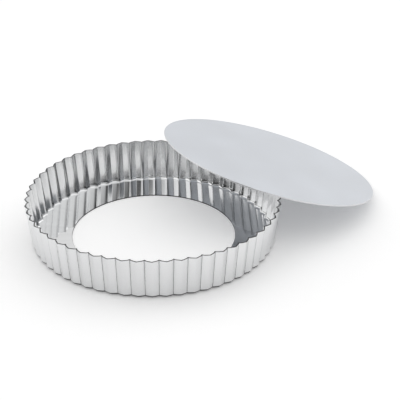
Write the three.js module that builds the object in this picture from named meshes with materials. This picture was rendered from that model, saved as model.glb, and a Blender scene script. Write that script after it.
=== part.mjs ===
// Loose-bottom tart pan: a fluted ring pressed from one sheet, and the flat loose bottom taken out of it,
// which leans on the rim with its low end on the ground. Millimetres, +Z up, ground at Z = 0.
import * as THREE from 'three';

// Ring
const SHEET = 0.8; // thickness of the ring's sheet
const RIM_RADIUS = 100; // axis to the outside of a flute's crest, at the rim
const FOOT_RADIUS = 95; // axis to where the crest's outer line meets the ground
const RING_HEIGHT = 33.6;
const HOLE_RADIUS = 64.1; // hole inside the ledge
const FOOT_BEND = 2.2; // inside radius of the bend between the ledge and the wall

// Flutes
const FLUTE_COUNT = 57;
const RIM_FLUTE_DEPTH = 2.8; // crest to groove, at the rim
const FOOT_FLUTE_DEPTH = 1.8; // crest to groove, at the foot
const NOTCH_SHARE = 0.2; // part of the depth that the narrow notch in each groove has
const NOTCH_POWER = 8; // more makes the notch narrower
const CREST_AZIMUTH = THREE.MathUtils.degToRad(94.1); // where one of the crests stands

// Loose bottom
const BOTTOM_THICKNESS = 1;
const BOTTOM_CHAMFER = 0.2; // broken edges of the disc
const BOTTOM_CLEARANCE = 1.3; // disc's edge to the start of the ring's bend, when it lies on the ledge

// How the loose bottom leans
const LEAN_AZIMUTH = THREE.MathUtils.degToRad(30.3); // downhill direction, about the ring's axis
const LEAN_RUN = 100.1; // along the ground, rim to the disc's low end
const LEAN_OFFSET = 14; // disc's centre line to the ring's axis, sideways
const REST_GAP = 0.3; // disc's underside to the rim

// Facets
const FLUTE_STEPS = 6;
const BEND_STEPS = 1;
const DISC_STEPS = 120;

// Wall, bend and seat, from the sizes above
const WALL = new THREE.Vector2(RIM_RADIUS - FOOT_RADIUS, RING_HEIGHT).normalize();
const WALL_NORMAL = Math.atan2(-WALL.x, WALL.y);
const OUTER_BEND = FOOT_BEND + SHEET;
const BEND_RADIUS = FOOT_RADIUS - (OUTER_BEND * (1 - WALL.x)) / WALL.y;
const BOTTOM_RADIUS = BEND_RADIUS - FOOT_FLUTE_DEPTH - BOTTOM_CLEARANCE;

// Closed outline of the ring's sheet on a crest, as distance from the axis and height
function ringOutline() {
  const ledge = -Math.PI / 2;
  const outline = new THREE.Path();
  outline.moveTo(HOLE_RADIUS, 0);
  outline.lineTo(BEND_RADIUS, 0);
  outline.absarc(BEND_RADIUS, OUTER_BEND, OUTER_BEND, ledge, WALL_NORMAL, false);
  outline.lineTo(RIM_RADIUS, RING_HEIGHT);
  outline.lineTo(RIM_RADIUS - SHEET / WALL.y, RING_HEIGHT);
  outline.absarc(BEND_RADIUS, OUTER_BEND, FOOT_BEND, WALL_NORMAL, ledge, true);
  outline.lineTo(HOLE_RADIUS, SHEET);
  outline.closePath();
  return outline.getPoints(BEND_STEPS);
}

// Share of the flutes' depth at an azimuth: 0 on a crest, 1 in a groove
function grooveShare(azimuth) {
  const turn = FLUTE_COUNT * (azimuth - CREST_AZIMUTH);
  const fromCrest = Math.acos(Math.cos(turn)) / Math.PI;
  return (1 - NOTCH_SHARE) * fromCrest + NOTCH_SHARE * fromCrest ** NOTCH_POWER;
}

// How far a point of the plain ring is drawn in: fully on the wall and bend, fading out over the ledge
function fluteInset(radius, height, azimuth) {
  const depth = THREE.MathUtils.mapLinear(height, 0, RING_HEIGHT, FOOT_FLUTE_DEPTH, RIM_FLUTE_DEPTH);
  const fade = (radius - HOLE_RADIUS) / (BEND_RADIUS - HOLE_RADIUS);
  return depth * grooveShare(azimuth) * THREE.MathUtils.clamp(fade, 0, 1);
}

// The ring: its outline turned about the axis from a crest on, then drawn in to make the flutes
function ringGeometry() {
  const start = CREST_AZIMUTH + Math.PI / 2;
  const geometry = new THREE.LatheGeometry(ringOutline(), FLUTE_COUNT * FLUTE_STEPS, start);
  geometry.rotateX(Math.PI / 2);
  const points = geometry.attributes.position;
  for (let i = 0; i < points.count; i += 1) {
    const radius = Math.hypot(points.getX(i), points.getY(i));
    const azimuth = Math.atan2(points.getY(i), points.getX(i));
    const fluted = radius - fluteInset(radius, points.getZ(i), azimuth);
    points.setX(i, fluted * Math.cos(azimuth));
    points.setY(i, fluted * Math.sin(azimuth));
  }
  geometry.computeVertexNormals();
  return geometry;
}

// The loose bottom: a disc with broken edges, its underside at Z = 0
function bottomGeometry() {
  const outline = new THREE.Path();
  outline.moveTo(0, 0);
  outline.lineTo(BOTTOM_RADIUS - BOTTOM_CHAMFER, 0);
  outline.lineTo(BOTTOM_RADIUS, BOTTOM_CHAMFER);
  outline.lineTo(BOTTOM_RADIUS, BOTTOM_THICKNESS - BOTTOM_CHAMFER);
  outline.lineTo(BOTTOM_RADIUS - BOTTOM_CHAMFER, BOTTOM_THICKNESS);
  outline.lineTo(0, BOTTOM_THICKNESS);
  const geometry = new THREE.LatheGeometry(outline.getPoints(), DISC_STEPS);
  geometry.rotateX(Math.PI / 2);
  return geometry;
}

function flutedRing() {
  const tinplate = new THREE.MeshStandardMaterial({ color: 0xdcdee0, roughness: 0.12, metalness: 1 });
  const mesh = new THREE.Mesh(ringGeometry(), tinplate);
  mesh.name = 'fluted_ring';
  return mesh;
}

// The disc touches the ground at its low end and passes the rim at the rest gap
function looseBottom() {
  const satin = new THREE.MeshStandardMaterial({ color: 0xd0d3d8, roughness: 0.45, metalness: 0.9 });
  const mesh = new THREE.Mesh(bottomGeometry(), satin);
  const slope = Math.hypot(LEAN_RUN, RING_HEIGHT);
  const tilt = Math.atan2(RING_HEIGHT, LEAN_RUN) + Math.asin(REST_GAP / slope);
  const underside = BOTTOM_RADIUS - BOTTOM_CHAMFER;
  mesh.name = 'loose_bottom';
  mesh.rotation.y = tilt;
  mesh.position.set(
    RIM_RADIUS + LEAN_RUN - underside * Math.cos(tilt),
    LEAN_OFFSET,
    underside * Math.sin(tilt),
  );
  const lean = new THREE.Group();
  lean.rotation.z = LEAN_AZIMUTH;
  lean.add(mesh);
  return lean;
}

// The pan, moved so that the middle of the ground that it covers is the origin
function tartPan() {
  const pan = new THREE.Group();
  pan.add(flutedRing(), looseBottom());
  const box = new THREE.Box3().setFromObject(pan, true);
  const ground = box.getCenter(new THREE.Vector3()).setZ(box.min.z);
  pan.position.copy(ground).negate();
  return pan;
}

export default tartPan();
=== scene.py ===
"""Looks of a loose-bottom tart pan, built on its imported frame.

A bright tinplate ring with a fluted wall stands on a pale floor, and the satin loose bottom that was taken
out of it leans on its rim. Sizes are metres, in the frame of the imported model.
"""

import logging
import math
from collections.abc import Callable, Iterator
from contextlib import contextmanager
from dataclasses import dataclass, field
from enum import Enum

import bmesh
import bpy
from mathutils import Euler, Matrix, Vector


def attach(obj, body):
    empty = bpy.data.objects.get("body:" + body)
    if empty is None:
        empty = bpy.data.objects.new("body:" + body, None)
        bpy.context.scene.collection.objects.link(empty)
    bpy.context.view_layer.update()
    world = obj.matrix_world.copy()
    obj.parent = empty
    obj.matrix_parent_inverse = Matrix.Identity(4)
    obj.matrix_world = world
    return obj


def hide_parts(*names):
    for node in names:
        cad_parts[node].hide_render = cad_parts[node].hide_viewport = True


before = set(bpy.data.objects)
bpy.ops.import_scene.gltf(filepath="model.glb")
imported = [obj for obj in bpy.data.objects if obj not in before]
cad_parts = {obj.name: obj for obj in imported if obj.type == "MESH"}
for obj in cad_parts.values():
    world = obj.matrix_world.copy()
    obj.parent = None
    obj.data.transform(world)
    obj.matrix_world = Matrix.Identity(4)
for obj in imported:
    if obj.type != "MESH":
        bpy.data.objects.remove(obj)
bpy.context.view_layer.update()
LOG = logging.getLogger("tart_pan")

Colour = tuple[float, float, float]
Element = bmesh.types.BMVert | bmesh.types.BMEdge | bmesh.types.BMFace


class Slot(Enum):
    """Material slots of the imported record."""

    TINPLATE = "bright_tinplate"
    SATIN = "satin_steel"


class Body(Enum):
    """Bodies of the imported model."""

    RING = "ring"
    BOTTOM = "loose_bottom"


class Node(Enum):
    """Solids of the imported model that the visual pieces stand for."""

    RING = "fluted_ring"
    BOTTOM = "loose_bottom"


class Bench:
    """Edit-mode work on one mesh at a time."""

    CRISP_ANGLE = math.radians(40.0)
    FLAT_WEIGHT = 100

    @staticmethod
    def clear() -> None:
        """Leaves no object selected or active."""
        bpy.ops.object.select_all(action="DESELECT")
        bpy.context.view_layer.objects.active = None

    @staticmethod
    def take(piece: bpy.types.Object) -> None:
        """Selects one piece alone and makes it active."""
        Bench.clear()
        piece.select_set(True)
        bpy.context.view_layer.objects.active = piece

    @staticmethod
    @contextmanager
    def editing(piece: bpy.types.Object) -> Iterator[None]:
        """Holds one piece in edit mode.

        Args:
            piece: The mesh object that is shaped.
        """
        Bench.take(piece)
        bpy.ops.object.mode_set(mode="EDIT")
        try:
            yield
        finally:
            bpy.ops.object.mode_set(mode="OBJECT")

    @staticmethod
    def pick(mode: str, wanted: Callable[[Element], bool]) -> None:
        """Selects points, edges or faces of the mesh in edit mode.

        Args:
            mode: What is picked: VERT, EDGE or FACE.
            wanted: Says of one of them whether it is taken.
        """
        bpy.ops.mesh.select_mode(type=mode)
        bpy.ops.mesh.select_all(action="DESELECT")
        shape = bmesh.from_edit_mesh(bpy.context.edit_object.data)
        elements = {"VERT": shape.verts, "EDGE": shape.edges, "FACE": shape.faces}
        for element in elements[mode]:
            element.select = wanted(element)
        shape.select_flush_mode()
        bmesh.update_edit_mesh(bpy.context.edit_object.data)

    @staticmethod
    def pick_points(wanted: Callable[[Vector], bool]) -> None:
        """Selects points by their place."""
        Bench.pick("VERT", lambda point: wanted(point.co))

    @staticmethod
    def pick_edges(wanted: Callable[[Vector, Vector], bool]) -> None:
        """Selects edges by the places of their two ends."""
        Bench.pick("EDGE", lambda edge: wanted(edge.verts[0].co, edge.verts[1].co))

    @staticmethod
    def pick_faces(wanted: Callable[[Vector, Vector], bool]) -> None:
        """Selects faces by their centre and normal."""
        Bench.pick("FACE", lambda face: wanted(face.calc_center_median(), face.normal))

    @staticmethod
    def scale_out(factor: float, centre: Vector) -> None:
        """Scales what is selected level, away from an upright axis."""
        bpy.ops.transform.resize(value=(factor, factor, 1.0), center_override=tuple(centre))

    @staticmethod
    def apply(piece: bpy.types.Object, kind: str, **settings: object) -> None:
        """Adds a modifier and applies it.

        Args:
            piece: The mesh object that takes it.
            kind: The modifier's type.
            **settings: The modifier's settings.
        """
        Bench.take(piece)
        modifier = piece.modifiers.new(kind.title(), kind)
        for name, value in settings.items():
            setattr(modifier, name, value)
        bpy.ops.object.modifier_apply(modifier=modifier.name)

    @staticmethod
    def settle(piece: bpy.types.Object) -> None:
        """Puts the piece's place into its mesh and smooths its shading, but for the crisp edges."""
        Bench.take(piece)
        bpy.ops.object.transform_apply(location=True, rotation=True, scale=True)
        bpy.ops.object.shade_smooth_by_angle(angle=Bench.CRISP_ANGLE)
        Bench.clear()

    @staticmethod
    def flatten_shading(piece: bpy.types.Object) -> None:
        """Lets the large faces set the shading, so that they look flat up to their edges."""
        Bench.apply(
            piece,
            "WEIGHTED_NORMAL",
            mode="FACE_AREA",
            weight=Bench.FLAT_WEIGHT,
            keep_sharp=True,
        )


class Shader:
    """A node material in the making, with one Principled shader."""

    NOISE_LOW = 0.3
    NOISE_HIGH = 0.7

    # Sockets of a colour mix, where several share a name
    MIX_SHARE = 0
    MIX_LOW = 6
    MIX_HIGH = 7
    MIX_RESULT = 2

    def __init__(self, name: str) -> None:
        """Starts an empty material.

        Args:
            name: The finish, in plain words.
        """
        self.material = bpy.data.materials.new(name)
        self.material.use_nodes = True
        self.tree = self.material.node_tree
        self.tree.nodes.clear()
        self.surface = self.add("ShaderNodeBsdfPrincipled")
        output = self.add("ShaderNodeOutputMaterial")
        self.join(self.surface.outputs["BSDF"], output.inputs["Surface"])

    def add(self, kind: str, **settings: object) -> bpy.types.Node:
        """Adds a node.

        Args:
            kind: The node's type.
            **settings: The node's own settings.

        Returns:
            The new node.
        """
        node = self.tree.nodes.new(kind)
        for name, value in settings.items():
            setattr(node, name, value)
        return node

    def join(self, source: bpy.types.NodeSocket, target: bpy.types.NodeSocket) -> None:
        """Links two sockets."""
        self.tree.links.new(source, target)

    def placed(self, move: Vector, turn: Euler) -> bpy.types.NodeSocket:
        """Gives Object coordinates, moved and turned.

        Args:
            move: Added to the coordinates after the turn.
            turn: Turn of the coordinates.

        Returns:
            The mapped vector.
        """
        place = self.add("ShaderNodeTexCoord")
        mapping = self.add("ShaderNodeMapping")
        mapping.inputs["Location"].default_value = move
        mapping.inputs["Rotation"].default_value = turn
        self.join(place.outputs["Object"], mapping.inputs["Vector"])
        return mapping.outputs["Vector"]

    def noise(self, vector: bpy.types.NodeSocket, scale: float, detail: float) -> bpy.types.NodeSocket:
        """Gives a noise from 0 to 1.

        Args:
            vector: Where it is read.
            scale: Waves to the metre.
            detail: How many finer octaves it has.

        Returns:
            The noise's value.
        """
        node = self.add("ShaderNodeTexNoise")
        node.inputs["Scale"].default_value = scale
        node.inputs["Detail"].default_value = detail
        self.join(vector, node.inputs["Vector"])
        return node.outputs["Fac"]

    def spread(self, value: bpy.types.NodeSocket, low: float, high: float) -> bpy.types.NodeSocket:
        """Spreads the middle of a noise over a range.

        Args:
            value: A noise from 0 to 1.
            low: What a low noise gives.
            high: What a high noise gives.

        Returns:
            The spread value.
        """
        node = self.add("ShaderNodeMapRange")
        node.inputs["From Min"].default_value = self.NOISE_LOW
        node.inputs["From Max"].default_value = self.NOISE_HIGH
        node.inputs["To Min"].default_value = low
        node.inputs["To Max"].default_value = high
        self.join(value, node.inputs["Value"])
        return node.outputs["Result"]

    def shades(self, value: bpy.types.NodeSocket, low: Colour, high: Colour) -> bpy.types.NodeSocket:
        """Mixes two colours by a noise.

        Args:
            value: A noise from 0 to 1.
            low: Colour where it is low.
            high: Colour where it is high.

        Returns:
            The mixed colour.
        """
        node = self.add("ShaderNodeMix", data_type="RGBA")
        node.inputs[self.MIX_LOW].default_value = (*low, 1.0)
        node.inputs[self.MIX_HIGH].default_value = (*high, 1.0)
        self.join(self.spread(value, 0.0, 1.0), node.inputs[self.MIX_SHARE])
        return node.outputs[self.MIX_RESULT]

    def bump(
        self,
        height: bpy.types.NodeSocket,
        depth: float,
        under: bpy.types.NodeSocket | None = None,
    ) -> bpy.types.NodeSocket:
        """Raises the surface by a height.

        Args:
            height: The height, from 0 to 1.
            depth: How deep that is, in metres.
            under: A bump that this one lies on.

        Returns:
            The bumped normal.
        """
        node = self.add("ShaderNodeBump")
        node.inputs["Strength"].default_value = 1.0
        node.inputs["Distance"].default_value = depth
        self.join(height, node.inputs["Height"])
        if under is not None:
            self.join(under, node.inputs["Normal"])
        return node.outputs["Normal"]


@dataclass(frozen=True)
class BrightTinplate:
    """Bright tinned sheet, with a sheen and fine upright lines on the wall, where it was drawn."""

    dark: Colour = (0.76, 0.765, 0.77)
    light: Colour = (0.8, 0.805, 0.81)
    smooth: float = 0.05
    drawn: float = 0.16
    drawn_more: float = 0.2
    line_scale: float = 1500.0
    line_detail: float = 3.0
    line_climb: float = 0.02
    line_depth: float = 0.000001
    ripple_scale: float = 140.0
    ripple_detail: float = 1.0
    ripple_depth: float = 0.000002
    shade_detail: float = 2.0
    wall_foot: float = 0.002
    wall_full: float = 0.006

    def material(self, axis: Vector, radius: float) -> bpy.types.Material:
        """Makes the finish.

        Args:
            axis: The ring's upright axis.
            radius: The wall's radius, at which the lines have their scale.

        Returns:
            The material.
        """
        shader = Shader("bright_tinplate_sheet")
        centred = shader.placed(Vector((-axis.x, -axis.y, 0.0)), Euler((0.0, 0.0, 0.0)))
        lines = self.around(shader, centred, radius)
        fine = shader.noise(lines, self.line_scale, self.line_detail)
        wide = shader.noise(lines, self.ripple_scale, self.shade_detail)
        wall = self.on_wall(shader, centred)
        upright = shader.add("ShaderNodeMath", operation="MULTIPLY")
        shader.join(fine, upright.inputs[0])
        shader.join(wall, upright.inputs[1])
        surface = shader.surface.inputs
        surface["Metallic"].default_value = 1.0
        shader.join(shader.shades(wide, self.dark, self.light), surface["Base Color"])
        shader.join(self.sheen(shader, wall, fine), surface["Roughness"])
        ripple = shader.noise(centred, self.ripple_scale, self.ripple_detail)
        rippled = shader.bump(ripple, self.ripple_depth)
        shader.join(shader.bump(upright.outputs[0], self.line_depth, rippled), surface["Normal"])
        return shader.material

    def around(self, shader: Shader, centred: bpy.types.NodeSocket, radius: float) -> bpy.types.NodeSocket:
        """Gives coordinates that hardly change up the wall, so that a noise on them makes upright lines.

        Args:
            shader: The material in the making.
            centred: Coordinates about the ring's axis.
            radius: The wall's radius.

        Returns:
            The stretched vector.
        """
        level = shader.add("ShaderNodeVectorMath", operation="MULTIPLY")
        level.inputs[1].default_value = (1.0, 1.0, 0.0)
        unit = shader.add("ShaderNodeVectorMath", operation="NORMALIZE")
        ring = shader.add("ShaderNodeVectorMath", operation="SCALE")
        ring.inputs["Scale"].default_value = radius
        height = shader.add("ShaderNodeVectorMath", operation="MULTIPLY")
        height.inputs[1].default_value = (0.0, 0.0, self.line_climb)
        total = shader.add("ShaderNodeVectorMath", operation="ADD")
        shader.join(centred, level.inputs[0])
        shader.join(level.outputs[0], unit.inputs[0])
        shader.join(unit.outputs[0], ring.inputs[0])
        shader.join(centred, height.inputs[0])
        shader.join(ring.outputs[0], total.inputs[0])
        shader.join(height.outputs[0], total.inputs[1])
        return total.outputs[0]

    def sheen(
        self,
        shader: Shader,
        wall: bpy.types.NodeSocket,
        lines: bpy.types.NodeSocket,
    ) -> bpy.types.NodeSocket:
        """Gives the roughness: smooth on the ledge, and in fine lines on the drawn wall.

        Args:
            shader: The material in the making.
            wall: The wall's share.
            lines: The noise of the upright lines.

        Returns:
            The roughness.
        """
        share = shader.add("ShaderNodeMapRange")
        share.inputs["To Min"].default_value = self.smooth
        shader.join(wall, share.inputs["Value"])
        shader.join(shader.spread(lines, self.drawn, self.drawn_more), share.inputs["To Max"])
        return share.outputs["Result"]

    def on_wall(self, shader: Shader, centred: bpy.types.NodeSocket) -> bpy.types.NodeSocket:
        """Gives 1 on the wall and 0 on the ledge, so that the ledge stays plain.

        Args:
            shader: The material in the making.
            centred: Coordinates about the ring's axis.

        Returns:
            The share.
        """
        parts = shader.add("ShaderNodeSeparateXYZ")
        share = shader.add("ShaderNodeMapRange", interpolation_type="SMOOTHSTEP")
        share.inputs["From Min"].default_value = self.wall_foot
        share.inputs["From Max"].default_value = self.wall_full
        shader.join(centred, parts.inputs[0])
        shader.join(parts.outputs["Z"], share.inputs["Value"])
        return share.outputs["Result"]


@dataclass(frozen=True)
class SatinSteel:
    """Satin sheet with a fine even grain and faint clouds from rolling."""

    dark: Colour = (0.66, 0.682, 0.72)
    light: Colour = (0.687, 0.711, 0.75)
    low_roughness: float = 0.38
    high_roughness: float = 0.46
    grain_scale: float = 3500.0
    grain_detail: float = 2.0
    grain_depth: float = 0.000006
    cloud_scale: float = 28.0
    cloud_detail: float = 3.0

    def material(self, turn: Euler) -> bpy.types.Material:
        """Makes the finish.

        Args:
            turn: Turn that lays the sheet level.

        Returns:
            The material.
        """
        shader = Shader("satin_steel_sheet")
        flat = shader.placed(Vector((0.0, 0.0, 0.0)), turn)
        grain = shader.noise(flat, self.grain_scale, self.grain_detail)
        cloud = shader.noise(flat, self.cloud_scale, self.cloud_detail)
        surface = shader.surface.inputs
        surface["Metallic"].default_value = 1.0
        shader.join(shader.shades(cloud, self.dark, self.light), surface["Base Color"])
        shader.join(shader.spread(cloud, self.low_roughness, self.high_roughness), surface["Roughness"])
        shader.join(shader.bump(grain, self.grain_depth), surface["Normal"])
        return shader.material


@dataclass(frozen=True)
class EdgeAndShadeFinish:
    """One metal finish: the disc's bright cut edge, the ring's near-black cut edges, which are partly
    painted shade, and painted shade along the ring's foot.
    """

    name: str
    dark: Colour
    light: Colour
    roughness: float
    more_roughness: float = 0.1
    grain_scale: float = 2200.0
    grain_detail: float = 2.0
    grain_depth: float = 0.00001

    def material(self) -> bpy.types.Material:
        """Makes the finish."""
        shader = Shader(self.name)
        place = shader.placed(Vector((0.0, 0.0, 0.0)), Euler((0.0, 0.0, 0.0)))
        grain = shader.noise(place, self.grain_scale, self.grain_detail)
        surface = shader.surface.inputs
        surface["Metallic"].default_value = 1.0
        shader.join(shader.shades(grain, self.dark, self.light), surface["Base Color"])
        rough = shader.spread(grain, self.roughness, self.roughness + self.more_roughness)
        shader.join(rough, surface["Roughness"])
        shader.join(shader.bump(grain, self.grain_depth), surface["Normal"])
        return shader.material


@dataclass
class FlutedRing:
    """The ring: a ledge round a hole, a bend and a flared wall, pressed into flutes from one sheet."""

    tinplate: BrightTinplate
    # Near-black finish of the rim and hole edges: real cut edges, darkened as painted shade.
    cut: EdgeAndShadeFinish
    # Dark finish that paints the contact shade where the foot meets the floor.
    foot_shade: EdgeAndShadeFinish
    sheet: float = 0.0008
    rim_radius: float = 0.1
    foot_radius: float = 0.095
    height: float = 0.0336
    hole_radius: float = 0.0641
    inside_bend: float = 0.0022
    flutes: int = 57
    rim_depth: float = 0.0028
    foot_depth: float = 0.0018
    notch_share: float = 0.2
    notch_power: float = 8.0
    crest_azimuth: float = math.radians(94.1)
    steps: int = 20
    bend_steps: int = 7
    wall_cuts: int = 5
    burr: float = 0.00015
    burr_steps: int = 2
    burr_angle: float = math.radians(60.0)
    # Upright share of the normals of the bend faces that take the painted foot shade.
    foot_shade_from: float = -0.97
    foot_shade_to: float = -0.35
    axis: Vector = field(default_factory=lambda: Vector((-0.0394717, -0.0293624, 0.0)))

    def flare(self) -> float:
        """Gives how far the wall leans out from the upright, as an angle."""
        return math.atan2(self.rim_radius - self.foot_radius, self.height)

    def bend_radius(self) -> float:
        """Gives the distance from the axis at which the ledge ends and the bend starts, on a crest."""
        outer = self.inside_bend + self.sheet
        lean = self.flare()
        return self.foot_radius - outer * (1.0 - math.sin(lean)) / math.cos(lean)

    def near(self) -> float:
        """Gives how close two heights lie that count as the same."""
        return self.sheet / 10.0

    def groove_share(self, step: int) -> float:
        """Gives the share of the flutes' depth.

        Args:
            step: Steps from a crest, up to half the flute's steps.

        Returns:
            0 on a crest and 1 in a groove.
        """
        from_crest = 2.0 * step / self.steps
        return (1.0 - self.notch_share) * from_crest + self.notch_share * from_crest**self.notch_power

    def step_of(self, place: Vector) -> int:
        """Gives the steps from a point to the nearest crest."""
        turn = math.atan2(place.y - self.axis.y, place.x - self.axis.x) - self.crest_azimuth
        step = round(turn / (2.0 * math.pi) * self.flutes * self.steps) % self.steps
        return min(step, self.steps - step)

    def next_row(self, radius: float, height: float, from_radius: float, from_height: float) -> None:
        """Extrudes the selected row of edges to a new radius and height.

        Args:
            radius: New distance from the axis, on a crest.
            height: New height.
            from_radius: Distance of the old row.
            from_height: Height of the old row.
        """
        rise = (0.0, 0.0, height - from_height)
        bpy.ops.mesh.extrude_region_move(TRANSFORM_OT_translate={"value": rise})
        Bench.scale_out(radius / from_radius, self.axis)

    def press(self, height: float, crest: float, depth: float, new_depth: float) -> None:
        """Draws one row in between the crests.

        Args:
            height: Height of the row.
            crest: Distance of its crests from the axis.
            depth: Depth of its grooves so far.
            new_depth: Depth that they get.
        """
        near = self.near()
        far = crest - 2.0 * self.rim_depth
        for step in range(1, self.steps // 2 + 1):
            share = self.groove_share(step)

            def wanted(place: Vector, at: int = step) -> bool:
                """Says whether a point of the row is this many steps from a crest."""
                on_row = abs(place.z - height) < near and (place - self.axis).xy.length > far
                return on_row and self.step_of(place) == at

            Bench.pick_points(wanted)
            Bench.scale_out((crest - new_depth * share) / (crest - depth * share), self.axis)

    def pick_row(self, height: float, least: float) -> None:
        """Selects the row of edges at a height, outside a radius."""
        near = self.near()
        Bench.pick_edges(
            lambda a, b: abs(a.z - height) < near
            and abs(b.z - height) < near
            and (a - self.axis).xy.length > least
            and (b - self.axis).xy.length > least
        )

    def shape(self) -> bpy.types.Object:
        """Models the ring's outer face, row by row from the hole to the rim.

        Returns:
            The ring as an open sheet without thickness.
        """
        Bench.clear()
        bpy.ops.mesh.primitive_circle_add(
            vertices=self.flutes * self.steps,
            radius=self.hole_radius,
            location=self.axis,
            rotation=(0.0, 0.0, self.crest_azimuth - math.pi / 2.0),
        )
        ring = bpy.context.active_object
        ring.name = ring.data.name = "ring_sheet"
        Bench.settle(ring)
        bend = self.bend_radius()
        outer = self.inside_bend + self.sheet
        with Bench.editing(ring):
            bpy.ops.mesh.select_mode(type="EDGE")
            bpy.ops.mesh.select_all(action="SELECT")
            self.next_row(bend, 0.0, self.hole_radius, 0.0)
            self.press(0.0, bend, 0.0, self.foot_depth)
            self.pick_row(0.0, bend - 2.0 * self.rim_depth)
            radius, height = bend, 0.0
            for step in range(1, self.bend_steps + 1):
                turn = (math.pi / 2.0 - self.flare()) * step / self.bend_steps
                new_radius = bend + outer * math.sin(turn)
                new_height = outer * (1.0 - math.cos(turn))
                self.next_row(new_radius, new_height, radius, height)
                radius, height = new_radius, new_height
            self.next_row(self.rim_radius, self.height, radius, height)
            drawn = self.foot_depth * self.rim_radius / bend
            self.press(self.height, self.rim_radius, drawn, self.rim_depth)
            top, foot = self.height, height
            near = self.near()
            Bench.pick_edges(
                lambda a, b: abs(max(a.z, b.z) - top) < near and abs(min(a.z, b.z) - foot) < near
            )
            bpy.ops.mesh.subdivide(number_cuts=self.wall_cuts)
            bpy.ops.mesh.select_all(action="SELECT")
            bpy.ops.mesh.normals_make_consistent(inside=False)
        return ring

    def build(self) -> bpy.types.Object:
        """Models the ring and dresses it.

        Returns:
            The finished piece.
        """
        ring = self.shape()
        self.dress(ring)
        # The rim faces and the bevelled burr take the near-black edge finish, which is partly painted
        # shade.
        Bench.apply(
            ring,
            "SOLIDIFY",
            thickness=self.sheet,
            offset=-1.0,
            use_even_offset=True,
            material_offset_rim=1,
        )
        Bench.apply(
            ring,
            "BEVEL",
            width=self.burr,
            segments=self.burr_steps,
            limit_method="ANGLE",
            angle_limit=self.burr_angle,
            material=1,
        )
        self.paint_foot_shade(ring)
        Bench.settle(ring)
        Bench.flatten_shading(ring)
        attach(ring, Body.RING.value)
        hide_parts(Node.RING.value)
        return ring

    def dress(self, ring: bpy.types.Object) -> None:
        """Gives the sheet its bright finish, near-black cut edges that are partly painted shade, and
        painted shade at its foot.
        """
        ring.data.materials.append(self.tinplate.material(self.axis, self.rim_radius))
        ring.data.materials.append(self.cut.material())
        ring.data.materials.append(self.foot_shade.material())

    def paint_foot_shade(self, ring: bpy.types.Object) -> None:
        """Paints shade on the outside of the bend, which faces down and out, with a dark finish."""
        least = self.bend_radius() - 2.0 * self.foot_depth
        with Bench.editing(ring):
            Bench.pick_faces(
                lambda centre, normal: self.foot_shade_from < normal.z < self.foot_shade_to
                and (centre - self.axis).xy.length > least
            )
            # Slot 2 paints shade along the foot.
            ring.active_material_index = 2
            bpy.ops.object.material_slot_assign()


@dataclass
class LooseBottom:
    """The loose bottom: a flat disc that leans on the ring's rim with its low end on the floor."""

    satin: SatinSteel
    cut: EdgeAndShadeFinish
    ring: FlutedRing
    radius: float = 0.08928
    reach: float = 0.0891128
    thickness: float = 0.001
    edge: float = 0.0002
    edge_steps: int = 3
    border: float = 0.002232
    corners: int = 240
    flat_normal: float = 0.99
    edge_normal: float = 0.98
    lean_azimuth: float = math.radians(30.3)
    lean_run: float = 0.1001
    lean_offset: float = 0.014
    rest_gap: float = 0.0003

    def tilt(self) -> float:
        """Gives the angle at which the disc leans."""
        slope = math.hypot(self.lean_run, self.ring.height)
        return math.atan2(self.ring.height, self.lean_run) + math.asin(self.rest_gap / slope)

    def place(self) -> Vector:
        """Gives the middle of the disc's underside."""
        along = self.ring.rim_radius + self.lean_run - self.reach * math.cos(self.tilt())
        low = Vector((along, self.lean_offset, self.reach * math.sin(self.tilt())))
        return self.ring.axis + Euler((0.0, 0.0, self.lean_azimuth)).to_matrix() @ low

    def build(self) -> bpy.types.Object:
        """Models the disc level, breaks its edges, dresses it and leans it on the rim.

        Returns:
            The finished piece.
        """
        Bench.clear()
        bpy.ops.mesh.primitive_circle_add(vertices=self.corners, radius=self.radius, fill_type="NGON")
        disc = bpy.context.active_object
        disc.name = disc.data.name = "bottom_plate"
        with Bench.editing(disc):
            bpy.ops.mesh.select_mode(type="FACE")
            bpy.ops.mesh.select_all(action="SELECT")
            rise = (0.0, 0.0, self.thickness)
            bpy.ops.mesh.extrude_region_move(TRANSFORM_OT_translate={"value": rise})
            bpy.ops.mesh.select_all(action="SELECT")
            bpy.ops.mesh.normals_make_consistent(inside=False)
            near = self.thickness / 10.0
            Bench.pick_edges(lambda a, b: abs(a.z - b.z) < near)
            bpy.ops.mesh.bevel(offset=self.edge, segments=self.edge_steps, affect="EDGES")
            Bench.pick_faces(lambda centre, normal: abs(normal.z) > self.flat_normal)
            bpy.ops.mesh.inset(thickness=self.border, use_individual=True)
        self.dress(disc)
        disc.rotation_euler = Euler((0.0, self.tilt(), self.lean_azimuth))
        disc.location = self.place()
        Bench.settle(disc)
        Bench.flatten_shading(disc)
        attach(disc, Body.BOTTOM.value)
        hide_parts(Node.BOTTOM.value)
        return disc

    def dress(self, disc: bpy.types.Object) -> None:
        """Gives the faces their satin finish and the cut edge its own."""
        level = Euler((0.0, self.tilt(), self.lean_azimuth)).to_matrix().inverted().to_euler()
        disc.data.materials.append(self.satin.material(level))
        disc.data.materials.append(self.cut.material())
        with Bench.editing(disc):
            Bench.pick_faces(lambda centre, normal: abs(normal.z) < self.edge_normal)
            disc.active_material_index = 1
            bpy.ops.object.material_slot_assign()


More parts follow.
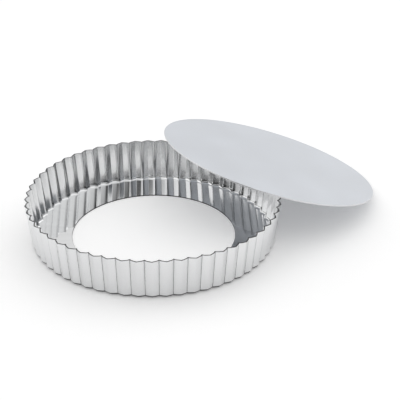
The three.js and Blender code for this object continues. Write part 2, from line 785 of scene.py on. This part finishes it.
@dataclass(frozen=True)
class SoftPanel:
    """One soft studio panel, so far off that only its direction counts."""

    azimuth: float
    elevation: float
    edge: float
    full: float
    strength: float

    def way(self) -> Vector:
        """Gives the direction of the panel's middle."""
        turn = math.radians(self.azimuth)
        rise = math.radians(self.elevation)
        across = math.cos(rise)
        return Vector((across * math.cos(turn), across * math.sin(turn), math.sin(rise)))

    def build(self, tree: bpy.types.NodeTree, look: bpy.types.NodeSocket) -> bpy.types.NodeSocket:
        """Paints the panel, bright in the middle and fading to its edge.

        Args:
            tree: The sky's nodes.
            look: The direction that the sky is seen in.

        Returns:
            The panel's light.
        """
        along = tree.nodes.new("ShaderNodeVectorMath")
        along.operation = "DOT_PRODUCT"
        along.inputs[1].default_value = self.way()
        light = tree.nodes.new("ShaderNodeMapRange")
        light.interpolation_type = "SMOOTHSTEP"
        light.inputs["From Min"].default_value = self.edge
        light.inputs["From Max"].default_value = self.full
        light.inputs["To Min"].default_value = 0.0
        light.inputs["To Max"].default_value = self.strength
        tree.links.new(look, along.inputs[0])
        tree.links.new(along.outputs["Value"], light.inputs["Value"])
        return light.outputs["Result"]


@dataclass
class Studio:
    """The plain pale floor, the soft light and the camera."""

    floor_size: float = 8.0
    floor_colour: float = 0.9
    floor_lift: float = 0.2
    camera_place: Vector = field(default_factory=lambda: Vector((-0.00305, -1.0566, 0.5865)))
    camera_down: float = 28.42
    lens: float = 135.0
    sensor: float = 36.0
    sky: float = 0.03
    panels: tuple[SoftPanel, ...] = (
        SoftPanel(175.0, 30.0, 0.5, 0.95, 1.45),
        SoftPanel(5.0, 55.0, 0.25, 0.92, 1.25),
        SoftPanel(80.0, 10.0, 0.5, 0.95, 0.9),
    )

    def build(self) -> None:
        """Lays the floor, paints the sky and sets the camera."""
        self.lay_floor()
        self.paint_sky()
        self.set_camera()
        bpy.context.scene.view_settings.view_transform = "Standard"

    def lay_floor(self) -> None:
        """Lays a floor that is white to the camera and in the metal, and keeps the shadow."""
        Bench.clear()
        bpy.ops.mesh.primitive_plane_add(size=self.floor_size)
        floor = bpy.context.active_object
        floor.name = floor.data.name = "studio_floor"
        material = bpy.data.materials.new("pale_floor")
        material.use_nodes = True
        nodes, links = material.node_tree.nodes, material.node_tree.links
        nodes.clear()
        paint = nodes.new("ShaderNodeBsdfDiffuse")
        paint.inputs["Color"].default_value = (*[self.floor_colour] * 3, 1.0)
        glow = nodes.new("ShaderNodeEmission")
        total = nodes.new("ShaderNodeAddShader")
        output = nodes.new("ShaderNodeOutputMaterial")
        strength = nodes.new("ShaderNodeMath")
        strength.operation = "MULTIPLY"
        strength.inputs[1].default_value = self.floor_lift
        links.new(self.seen(nodes, links), strength.inputs[0])
        links.new(strength.outputs[0], glow.inputs["Strength"])
        links.new(paint.outputs[0], total.inputs[0])
        links.new(glow.outputs[0], total.inputs[1])
        links.new(total.outputs[0], output.inputs["Surface"])
        floor.data.materials.append(material)

    def seen(self, nodes: bpy.types.Nodes, links: bpy.types.NodeLinks) -> bpy.types.NodeSocket:
        """Gives 1 to the rays that show a surface: from the camera, in metal and through glass.

        Args:
            nodes: The nodes of a material or world.
            links: Its links.

        Returns:
            The share.
        """
        path = nodes.new("ShaderNodeLightPath")
        first = nodes.new("ShaderNodeMath")
        first.operation = "MAXIMUM"
        second = nodes.new("ShaderNodeMath")
        second.operation = "MAXIMUM"
        links.new(path.outputs["Is Camera Ray"], first.inputs[0])
        links.new(path.outputs["Is Glossy Ray"], first.inputs[1])
        links.new(first.outputs[0], second.inputs[0])
        links.new(path.outputs["Is Transmission Ray"], second.inputs[1])
        return second.outputs[0]

    def paint_sky(self) -> None:
        """Paints an even sky with the soft panels in it, white where the camera looks past the floor."""
        world = bpy.data.worlds.new("studio")
        bpy.context.scene.world = world
        world.use_nodes = True
        nodes, links = world.node_tree.nodes, world.node_tree.links
        nodes.clear()
        look = nodes.new("ShaderNodeTexCoord").outputs["Generated"]
        total = None
        for panel in self.panels:
            plus = nodes.new("ShaderNodeMath")
            plus.operation = "ADD"
            plus.inputs[1].default_value = self.sky
            links.new(panel.build(world.node_tree, look), plus.inputs[0])
            if total is not None:
                links.new(total, plus.inputs[1])
            total = plus.outputs[0]
        path = nodes.new("ShaderNodeLightPath")
        white = nodes.new("ShaderNodeMix")
        white.data_type = "FLOAT"
        white.inputs["B"].default_value = 1.0
        sky = nodes.new("ShaderNodeBackground")
        output = nodes.new("ShaderNodeOutputWorld")
        links.new(path.outputs["Is Camera Ray"], white.inputs["Factor"])
        links.new(total, white.inputs["A"])
        links.new(white.outputs[0], sky.inputs["Strength"])
        links.new(sky.outputs[0], output.inputs["Surface"])

    def set_camera(self) -> None:
        """Sets the camera at the photograph's viewing angle."""
        lens = bpy.data.cameras.new("camera")
        lens.lens = self.lens
        lens.sensor_width = self.sensor
        camera = bpy.data.objects.new("camera", lens)
        camera.location = self.camera_place
        camera.rotation_euler = (math.radians(90.0 - self.camera_down), 0.0, 0.0)
        bpy.context.scene.collection.objects.link(camera)
        bpy.context.scene.camera = camera


def main() -> None:
    """Builds the studio and the two pieces, and logs how many faces each has."""
    logging.basicConfig(level=logging.INFO, format="%(name)s: %(message)s")
    Studio().build()
    # Near-black cut edges of the ring: real cut edges, darkened as painted shade.
    steel = EdgeAndShadeFinish("cut_edge_painted_shade", (0.02, 0.02, 0.021), (0.04, 0.04, 0.041), roughness=0.5)
    # Dark finish that paints the contact shade along the ring's foot.
    shade_along_foot = EdgeAndShadeFinish("painted_foot_shade", (0.05, 0.05, 0.052), (0.08, 0.08, 0.082), roughness=0.4)
    bright = EdgeAndShadeFinish("bright_cut_edge", (0.66, 0.67, 0.68), (0.76, 0.76, 0.77), roughness=0.25)
    ring = FlutedRing(BrightTinplate(), steel, shade_along_foot)
    for piece in (ring.build(), LooseBottom(SatinSteel(), bright, ring).build()):
        LOG.info("%s: %d faces", piece.name, len(piece.data.polygons))


if __name__ == "__main__":
    main()
